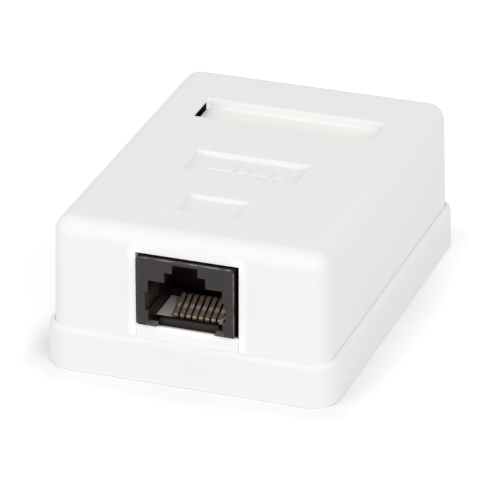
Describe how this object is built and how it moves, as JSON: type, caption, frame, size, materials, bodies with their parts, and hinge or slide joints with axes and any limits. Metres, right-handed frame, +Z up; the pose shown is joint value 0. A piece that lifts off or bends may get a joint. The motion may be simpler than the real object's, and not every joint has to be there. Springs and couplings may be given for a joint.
{
  "type": "surface mount jack box",
  "caption": "Small white moulded wall box with a recessed lid, holding a black modular network jack on a circuit board with punch-down wire blocks.",
  "frame": {"origin": "middle of the flat underside of the base, on the wall side", "axes": "+Y along the length away from the jack, -Y out of the jack opening, +X across the width, +Z up from the underside to the lid"},
  "size_m": [0.047, 0.064, 0.0248],
  "materials": {
    "white_plastic": "fine spark-textured moulded ABS",
    "black_plastic": "satin moulded black plastic",
    "grey_plastic": "smooth moulded light grey plastic",
    "block_plastic": "smooth moulded ivory plastic",
    "board_laminate": "green solder mask over laminate",
    "gilt_contact": "flash gold plated spring bronze",
    "tinned_clip": "tin plated phosphor bronze",
    "zinc_screw": "bright zinc plated steel"
  },
  "bodies": {
    "wired_base": {"base": "white_plastic", "circuit_board": "board_laminate", "jack_housing": "black_plastic", "contact_carrier": "grey_plastic", "contact_1": "gilt_contact", "contact_2": "gilt_contact", "contact_3": "gilt_contact", "contact_4": "gilt_contact", "contact_5": "gilt_contact", "contact_6": "gilt_contact", "contact_7": "gilt_contact", "contact_8": "gilt_contact", "idc_block_left": "block_plastic", "idc_block_right": "block_plastic", "idc_clip_1": "tinned_clip", "idc_clip_2": "tinned_clip", "idc_clip_3": "tinned_clip", "idc_clip_4": "tinned_clip", "idc_clip_5": "tinned_clip", "idc_clip_6": "tinned_clip", "idc_clip_7": "tinned_clip", "idc_clip_8": "tinned_clip", "board_screw_left": "zinc_screw", "board_screw_right": "zinc_screw"},
    "lid": {"cover": "white_plastic"}
  },
  "joints": [
    {"name": "cover_lift", "type": "slide", "parent": "wired_base", "child": "lid", "axis": [0, 0, 1], "range_m": [0, 0.02]}
  ]
}
